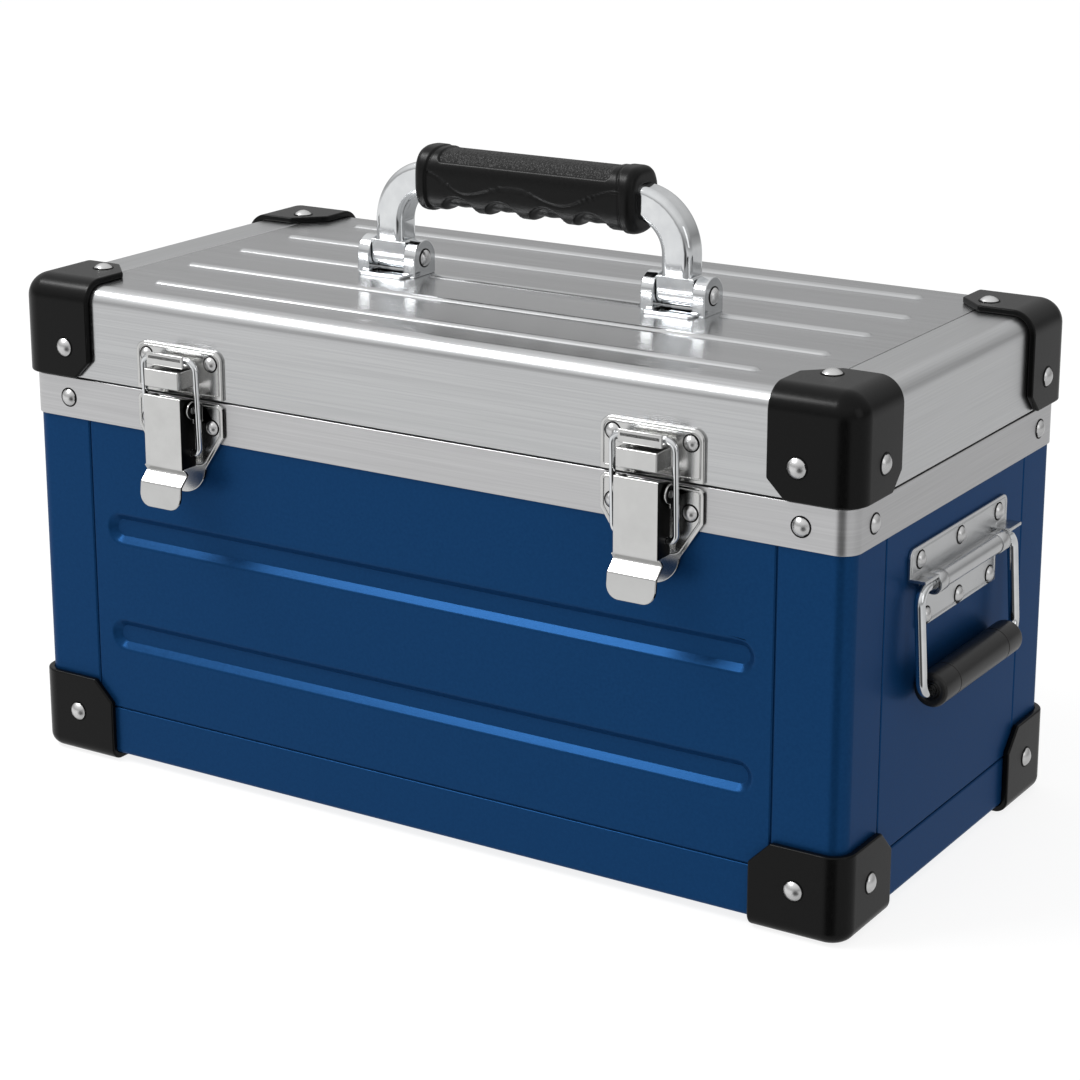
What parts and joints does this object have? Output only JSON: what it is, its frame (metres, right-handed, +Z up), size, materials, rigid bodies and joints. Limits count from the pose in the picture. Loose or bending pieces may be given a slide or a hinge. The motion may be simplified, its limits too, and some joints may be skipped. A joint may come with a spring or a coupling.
{
  "type": "portable tool box",
  "caption": "Portable steel tool box with a hinged metal lid, toggle latches, moulded corner guards, a folding carrying handle on top and drop handles on the ends.",
  "frame": {"origin": "middle of the overall box at floor level, under the foot guards", "axes": "+X to the right along the case's length, +Y to the rear where the lid's hinges are, +Z up"},
  "size_m": [0.4488, 0.2298, 0.2887],
  "materials": {
    "blue_paint": "glossy metallic navy enamel",
    "band_steel": "brushed along the band",
    "lid_aluminium": "brushed along the length",
    "guard_plastic": "satin moulded black",
    "rivet_steel": "polished domed heads",
    "latch_nickel": "bright nickel plate",
    "handle_chrome": "polished",
    "zinc_steel": "satin zinc plate",
    "grip_rubber": "fine grained black rubber",
    "seal_foam": "closed-cell foam"
  },
  "bodies": {
    "case": {"base_pan": "blue_paint", "front_panel": "blue_paint", "rear_panel": "blue_paint", "end_panel_left": "blue_paint", "end_panel_right": "blue_paint", "corner_post_front_left": "blue_paint", "corner_post_front_right": "blue_paint", "corner_post_rear_left": "blue_paint", "corner_post_rear_right": "blue_paint", "top_band": "band_steel", "band_rivets": "rivet_steel", "foot_guard_front_left": "guard_plastic", "foot_guard_front_right": "guard_plastic", "foot_guard_rear_left": "guard_plastic", "foot_guard_rear_right": "guard_plastic", "foot_rivets": "rivet_steel", "latch_base_left": "latch_nickel", "latch_base_right": "latch_nickel", "latch_base_rivets": "rivet_steel", "latch_pins": "latch_nickel", "drop_plate_left": "zinc_steel", "drop_plate_right": "zinc_steel", "drop_plate_rivets": "rivet_steel", "hinge_lower_left": "zinc_steel", "hinge_lower_right": "zinc_steel", "hinge_pins": "zinc_steel", "hinge_lower_rivets": "rivet_steel"},
    "lid": {"lid_sheet": "lid_aluminium", "lid_end_left": "lid_aluminium", "lid_end_right": "lid_aluminium", "lid_guard_front_left": "guard_plastic", "lid_guard_front_right": "guard_plastic", "lid_guard_rear_left": "guard_plastic", "lid_guard_rear_right": "guard_plastic", "lid_guard_rivets": "rivet_steel", "lid_seal": "seal_foam", "latch_keeper_left": "latch_nickel", "latch_keeper_right": "latch_nickel", "latch_keeper_rivets": "rivet_steel", "handle_bracket_left": "handle_chrome", "handle_bracket_right": "handle_chrome", "handle_pins": "handle_chrome", "handle_backing_left": "zinc_steel", "handle_backing_right": "zinc_steel", "bracket_screws": "rivet_steel", "hinge_upper_left": "zinc_steel", "hinge_upper_right": "zinc_steel", "hinge_upper_rivets": "rivet_steel"},
    "top_handle": {"handle_bar": "handle_chrome", "handle_grip": "grip_rubber"},
    "side_handle_left": {"drop_bail_left": "handle_chrome", "drop_grip_left": "grip_rubber"},
    "side_handle_right": {"drop_bail_right": "handle_chrome", "drop_grip_right": "grip_rubber"},
    "latch_lever_left": {"latch_lever_left": "latch_nickel"},
    "latch_lever_right": {"latch_lever_right": "latch_nickel"},
    "latch_bail_left": {"latch_bail_left": "latch_nickel"},
    "latch_bail_right": {"latch_bail_right": "latch_nickel"}
  },
  "joints": [
    {"name": "lid_hinge", "type": "hinge", "parent": "case", "child": "lid", "pos_m": [0, 0.1119, 0.1839], "axis": [-1, 0, 0], "range_deg": [0, 105]},
    {"name": "top_handle_fold", "type": "hinge", "parent": "lid", "child": "top_handle", "pos_m": [0, 0.0056, 0.2352], "axis": [1, 0, 0], "range_deg": [-75, 75]},
    {"name": "side_handle_left_swing", "type": "hinge", "parent": "case", "child": "side_handle_left", "pos_m": [-0.214, 0.0056, 0.1365], "axis": [0, 1, 0], "range_deg": [0, 85]},
    {"name": "side_handle_right_swing", "type": "hinge", "parent": "case", "child": "side_handle_right", "pos_m": [0.214, 0.0056, 0.1365], "axis": [0, -1, 0], "range_deg": [0, 85]},
    {"name": "latch_lever_left_turn", "type": "hinge", "parent": "case", "child": "latch_lever_left", "pos_m": [-0.121, -0.1044, 0.1805], "axis": [-1, 0, 0], "range_deg": [0, 75]},
    {"name": "latch_lever_right_turn", "type": "hinge", "parent": "case", "child": "latch_lever_right", "pos_m": [0.121, -0.1044, 0.1805], "axis": [-1, 0, 0], "range_deg": [0, 75]},
    {"name": "latch_bail_left_turn", "type": "hinge", "parent": "latch_lever_left", "child": "latch_bail_left", "pos_m": [-0.121, -0.1034, 0.1605], "axis": [-1, 0, 0], "range_deg": [-45, 0]},
    {"name": "latch_bail_right_turn", "type": "hinge", "parent": "latch_lever_right", "child": "latch_bail_right", "pos_m": [0.121, -0.1034, 0.1605], "axis": [-1, 0, 0], "range_deg": [-45, 0]}
  ],
  "couplings": [
    {"joint": "latch_bail_left_turn", "follows": "latch_lever_left_turn", "ratio": -0.55},
    {"joint": "latch_bail_right_turn", "follows": "latch_lever_right_turn", "ratio": -0.55}
  ]
}
